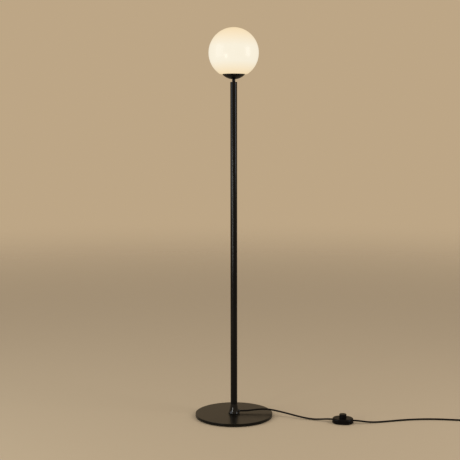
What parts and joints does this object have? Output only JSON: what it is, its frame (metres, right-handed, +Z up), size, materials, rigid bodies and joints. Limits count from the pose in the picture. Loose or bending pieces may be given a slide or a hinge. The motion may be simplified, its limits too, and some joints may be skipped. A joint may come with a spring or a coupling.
{
  "type": "globe floor lamp",
  "caption": "Slim floor lamp: round disc foot, straight pole, shallow dish with an opal glass globe, and a cord with a foot switch, its spare length coiled.",
  "frame": {"origin": "on the floor, under the middle of the pole", "axes": "+Z up along the pole, +X the way the cord leaves the foot, -Y the lamp's front, as pictured"},
  "size_m": [1.1021, 0.285, 1.4215],
  "materials": {
    "base_paint": "satin black powder coat",
    "cone_gloss": "gloss black lacquer",
    "pole_paint": "semi-gloss black lacquer",
    "head_paint": "semi-gloss black lacquer",
    "pan_white": "matt white paint",
    "plated_steel": "bright zinc plate",
    "opal_glass": "polished opal glass, lit from inside",
    "holder_plastic": "smooth moulding",
    "holder_ceramic": "unglazed",
    "brass": "pressed sheet",
    "bulb_plastic": "smooth moulding",
    "bulb_diffuser": "milky diffuser",
    "bulb_nickel": "nickel plate",
    "bulb_black": "vitrified black",
    "bulb_tip": "solder",
    "soft_pads": "soft",
    "cord_sheath": "satin",
    "core_sheath": "satin",
    "switch_plastic": "satin moulding",
    "switch_inner": "smooth moulding",
    "tie_plastic": "smooth moulding",
    "plug_plastic": "satin moulding",
    "plug_nickel": "nickel plate"
  },
  "bodies": {
    "stand": {"base_plate": "base_paint", "foot_cone": "cone_gloss", "pole": "pole_paint", "pole_cap": "pole_paint", "neck_sleeve": "head_paint", "globe_cup": "head_paint", "globe_carrier": "pan_white", "base_screws": "plated_steel", "neck_nipple": "plated_steel", "pole_nut": "plated_steel", "carrier_nut": "plated_steel", "switch_screws": "plated_steel", "clamp_screws": "plated_steel", "switch_spring": "plated_steel", "holder_base": "holder_plastic", "holder_skirt": "holder_plastic", "holder_insert": "holder_ceramic", "holder_shell": "brass", "holder_contact": "brass", "holder_terminals": "brass", "switch_terminals": "brass", "base_pads": "soft_pads", "switch_pads": "soft_pads", "cord_bush": "soft_pads", "inner_cord": "cord_sheath", "cord_to_switch": "cord_sheath", "cord_to_coil": "cord_sheath", "cord_coil": "cord_sheath", "cord_to_plug": "cord_sheath", "switch_leads": "cord_sheath", "holder_leads": "core_sheath", "switch_base": "switch_plastic", "switch_cover": "switch_plastic", "switch_latch": "switch_inner", "switch_clamps": "switch_inner", "coil_tie": "tie_plastic", "plug_body": "plug_plastic", "plug_sleeves": "plug_plastic", "plug_pins": "plug_nickel"},
    "globe": {"glass_globe": "opal_glass"},
    "bulb": {"bulb_dome": "bulb_diffuser", "bulb_body": "bulb_plastic", "bulb_cap": "bulb_nickel", "bulb_insulator": "bulb_black", "bulb_contact": "bulb_tip"},
    "button": {"switch_button": "switch_plastic"}
  },
  "joints": [
    {"name": "globe_lift", "type": "slide", "parent": "stand", "child": "globe", "axis": [0, 0, 1], "range_m": [0, 0.14]},
    {"name": "bulb_turn", "type": "hinge", "parent": "stand", "child": "bulb", "pos_m": [0, 0, 1.285], "axis": [0, 0, 1], "range_deg": [0, 1080]},
    {"name": "button_press", "type": "slide", "parent": "stand", "child": "button", "axis": [0, 0, -1], "range_m": [0, 0.0035], "stiffness_N_per_m": 2500, "springref_m": -0.001, "deforming": ["switch_spring"]}
  ]
}
